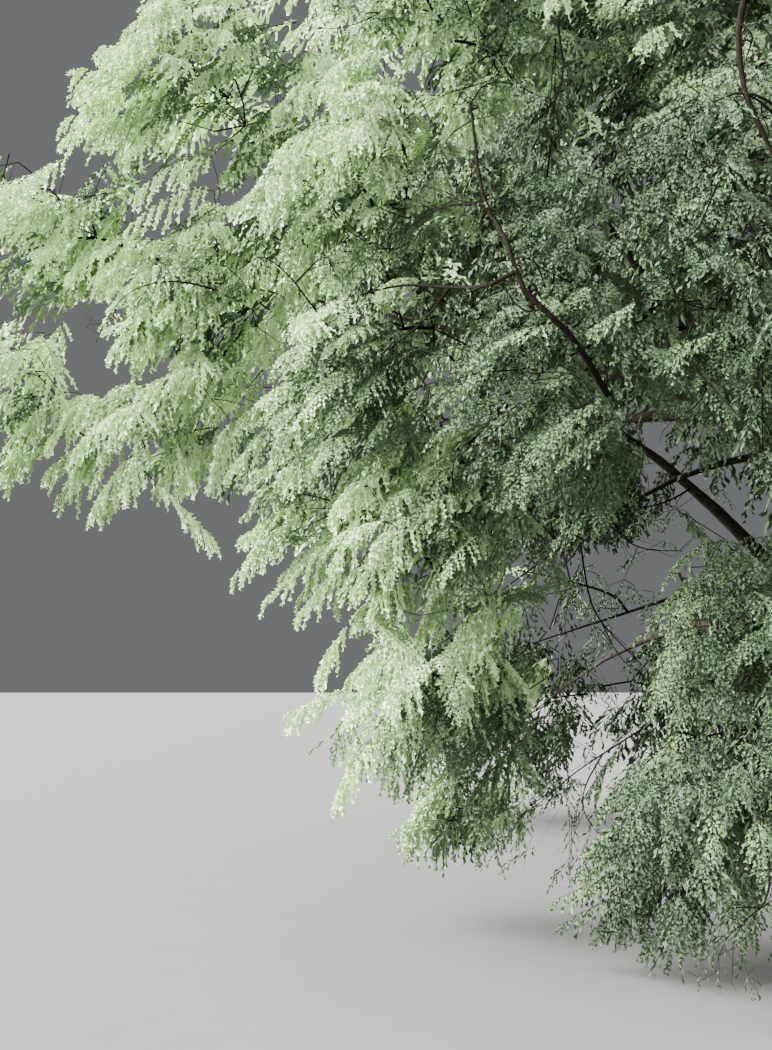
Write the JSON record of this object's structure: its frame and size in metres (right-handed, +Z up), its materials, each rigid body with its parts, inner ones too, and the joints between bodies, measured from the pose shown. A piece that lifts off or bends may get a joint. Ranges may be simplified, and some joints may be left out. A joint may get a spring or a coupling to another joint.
{
  "type": "cedar tree",
  "caption": "Wide, low-branched open-grown cedar with level boughs and drooping feathery plumes that sweep to the ground.",
  "frame": {"origin": "Middle of the flat cut under the trunk, on level ground.", "axes": "+Z up the trunk. -Y faces the viewer of the picture. -X is the side that the picture shows at the left, where the plumes are brightest. The crown is widest along X and Z."},
  "size_m": [14.3281, 13.206, 13.823],
  "materials": {
    "bark": "matt, furrowed",
    "bough_bark": "matt, rough",
    "foliage": "matt"
  },
  "bodies": {
    "root": {"bough_back_2": "bough_bark", "bough_front_falling": "bough_bark", "bough_front_lowest": "bough_bark", "bough_front_rising": "bough_bark", "bough_front_steep": "bough_bark", "bough_left": "bough_bark", "bough_left_steep": "bough_bark", "bough_lower_2": "bough_bark", "bough_lower_4": "bough_bark", "bough_middle_3": "bough_bark", "bough_right_steep": "bough_bark", "bough_skirt_1": "bough_bark", "bough_skirt_4": "bough_bark", "bough_skirt_7": "bough_bark", "mass_back_1": "foliage", "mass_back_2": "foliage", "mass_back_3": "foliage", "mass_bright_high": "foliage", "mass_bright_low": "foliage", "mass_crown_1": "foliage", "mass_crown_2": "foliage", "mass_crown_3": "foliage", "mass_curtain_hem": "foliage", "mass_curtain_high": "foliage", "mass_curtain_low": "foliage", "mass_dark_middle": "foliage", "mass_dark_right": "foliage", "mass_front_high": "foliage", "mass_hanging_sprays": "foliage", "mass_left_high": "foliage", "mass_left_low": "foliage", "mass_left_mid": "foliage", "mass_left_pendant": "foliage", "mass_left_shelf": "foliage", "mass_lower_1": "foliage", "mass_lower_2": "foliage", "mass_lower_3": "foliage", "mass_lower_4": "foliage", "mass_middle_1": "foliage", "mass_middle_2": "foliage", "mass_middle_3": "foliage", "mass_middle_4": "foliage", "mass_middle_5": "foliage", "mass_right_high": "foliage", "mass_right_skirt": "foliage", "mass_right_veil": "foliage", "mass_skirt_1": "foliage", "mass_skirt_2": "foliage", "mass_skirt_3": "foliage", "mass_skirt_4": "foliage", "mass_skirt_5": "foliage", "mass_skirt_6": "foliage", "mass_skirt_7": "foliage", "mass_tip": "foliage", "mass_upper_1": "foliage", "mass_upper_2": "foliage", "mass_upper_3": "foliage", "mass_upper_4": "foliage", "mass_upper_5": "foliage", "trunk": "bark"}
  },
  "joints": []
}
